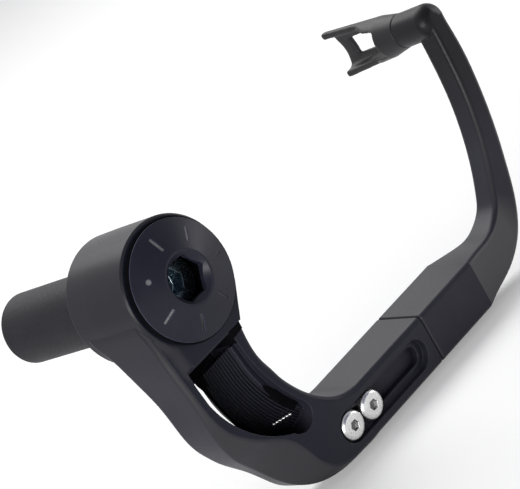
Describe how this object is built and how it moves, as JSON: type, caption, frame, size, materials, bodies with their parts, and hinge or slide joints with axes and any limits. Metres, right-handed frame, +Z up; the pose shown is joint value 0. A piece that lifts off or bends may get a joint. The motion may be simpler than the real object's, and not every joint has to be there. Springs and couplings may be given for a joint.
{
  "type": "brake lever guard",
  "caption": "Bar-end brake lever guard: a round hub with a plug for the handlebar bore carries a bent, windowed arm whose front part slides to set its length and ends in a flared tip.",
  "frame": {"origin": "centre of the hub's back face, on the bar axis, where the hub seats on the end of the handlebar", "axes": "+Y along the bar axis, inboard, the way the plug points; +X forwards, along the straight lower arm; +Z up"},
  "size_m": [0.1355, 0.0707, 0.0792],
  "materials": {
    "anodised_arm": "satin black anodised, bead blasted",
    "anodised_cap": "satin black anodised, turned",
    "seal_rubber": "matt black rubber",
    "plug_rubber": "matt dark grey rubber",
    "zinc_steel": "blue zinc plate",
    "stainless": "bright stainless",
    "nut_alloy": "plain turned",
    "tip_plastic": "satin black moulded"
  },
  "bodies": {
    "plug": {"plug_sleeve": "plug_rubber", "wedge_nut": "nut_alloy", "centre_bolt": "zinc_steel", "bolt_washer": "zinc_steel"},
    "lower_arm": {"hub_arm": "anodised_arm", "end_cap": "anodised_cap", "cap_seal": "seal_rubber"},
    "upper_arm": {"front_arm": "anodised_arm", "length_screws": "stainless", "tip_screw": "stainless"},
    "tip": {"guard_tip": "tip_plastic"}
  },
  "joints": [
    {"name": "guard_angle", "type": "hinge", "parent": "plug", "child": "lower_arm", "pos_m": [0, 0, 0], "axis": [0, 1, 0], "continuous": true},
    {"name": "arm_length", "type": "slide", "parent": "lower_arm", "child": "upper_arm", "axis": [1, 0, 0], "range_m": [0, 0.0185]},
    {"name": "tip_turn", "type": "hinge", "parent": "upper_arm", "child": "tip", "pos_m": [0.1135, 0, 0], "axis": [0, 1, 0], "continuous": true}
  ]
}
